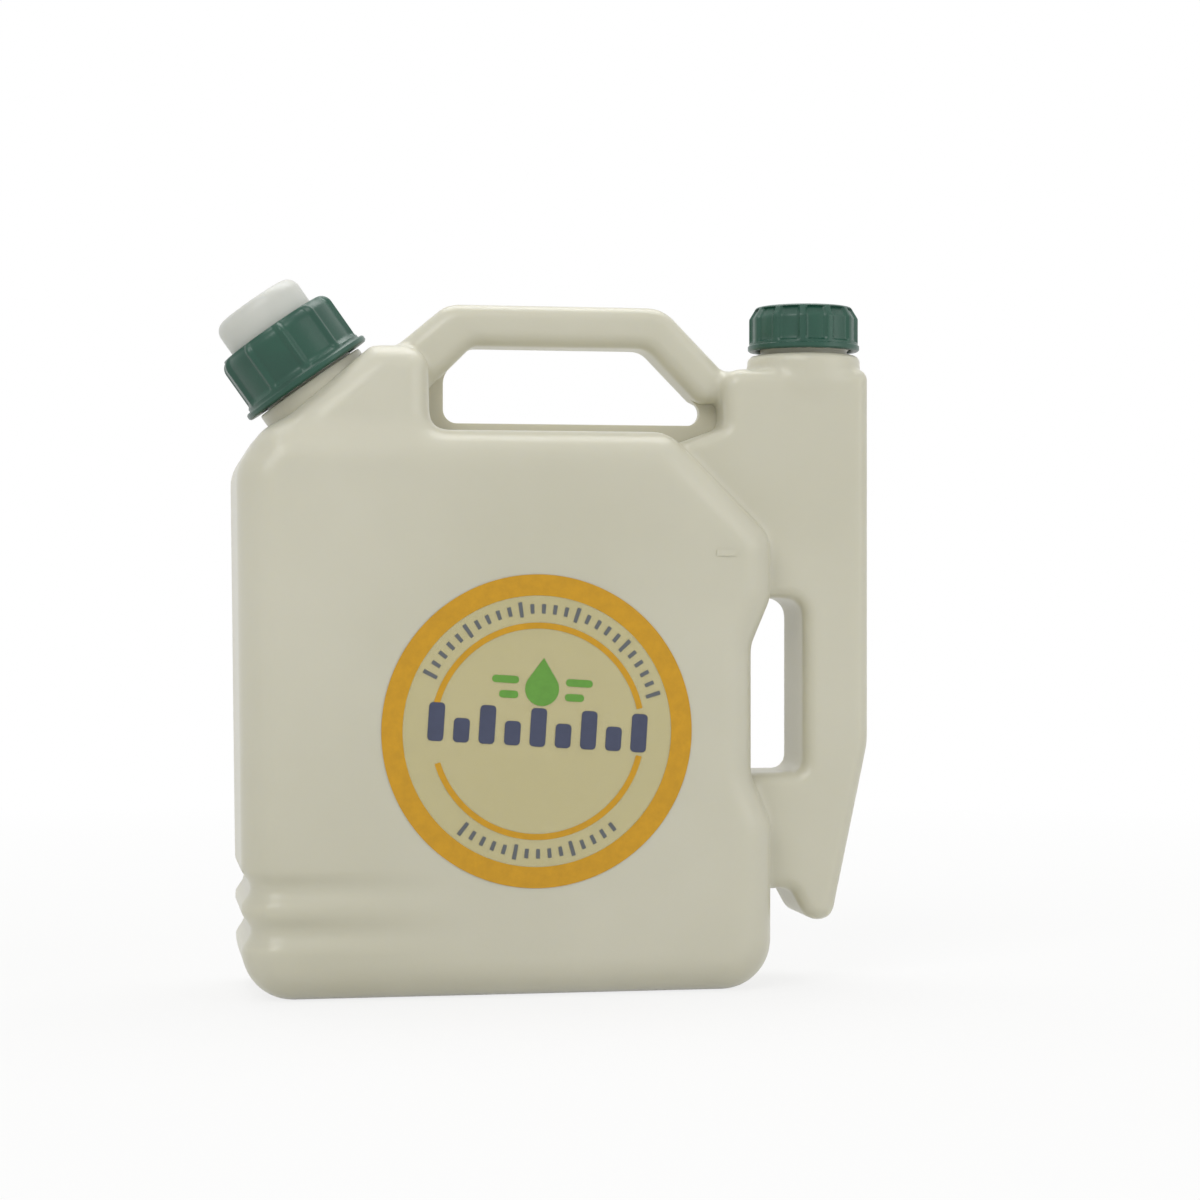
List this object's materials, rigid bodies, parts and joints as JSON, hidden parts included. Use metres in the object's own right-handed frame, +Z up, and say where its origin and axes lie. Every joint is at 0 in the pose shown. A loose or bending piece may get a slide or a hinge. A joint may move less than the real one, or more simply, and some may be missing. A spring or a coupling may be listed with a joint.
{
  "type": "fuel mixing bottle",
  "caption": "Flat translucent plastic bottle for mixing fuel and oil, with a tilted pouring neck and screw ring, hollow grip handle and a tapered side oil chamber with a ribbed cap.",
  "frame": {"origin": "centre of the bounding box in plan, at the height of the standing base", "axes": "+Z up from the base, +X from the tank towards the side oil chamber, -Y out of the printed front face"},
  "size_m": [0.2357, 0.0764, 0.2547],
  "materials": {
    "milky_polyethylene": "milky translucent, satin",
    "green_plastic": "satin",
    "white_plastic": "satin",
    "sealing_foam": "matt",
    "printed_film": "satin print on clear film"
  },
  "bodies": {
    "bottle": {"bottle": "milky_polyethylene", "front_label": "printed_film"},
    "spout": {"pour_spout": "white_plastic", "spout_gasket": "sealing_foam"},
    "ring": {"neck_ring": "green_plastic"},
    "spout_lid": {"spout_cap": "white_plastic"},
    "oil_seal": {"oil_cap_liner": "sealing_foam"},
    "oil_lid": {"oil_cap": "green_plastic"}
  },
  "joints": [
    {"name": "spout_lift", "type": "slide", "parent": "bottle", "child": "spout", "axis": [-0.5793, 0, 0.8151], "range_m": [0, 0.02]},
    {"name": "ring_turn", "type": "hinge", "parent": "spout", "child": "ring", "pos_m": [-0.0864, 0, 0.2186], "axis": [-0.5793, 0, 0.8151], "range_deg": [0, 1800]},
    {"name": "spout_cap_pull", "type": "slide", "parent": "spout", "child": "spout_lid", "axis": [-0.5793, 0, 0.8151], "range_m": [0, 0.016]},
    {"name": "oil_cap_lift", "type": "slide", "parent": "bottle", "child": "oil_seal", "axis": [0, 0, 1], "range_m": [0, 0.016]},
    {"name": "oil_cap_turn", "type": "hinge", "parent": "oil_seal", "child": "oil_lid", "pos_m": [0.0966, 0, 0.235], "axis": [0, 0, 1], "range_deg": [0, 1440]}
  ],
  "couplings": [
    {"joint": "ring_turn", "follows": "spout_lift", "rad_per_m": 1570.8},
    {"joint": "oil_cap_turn", "follows": "oil_cap_lift", "rad_per_m": 1570.8}
  ]
}
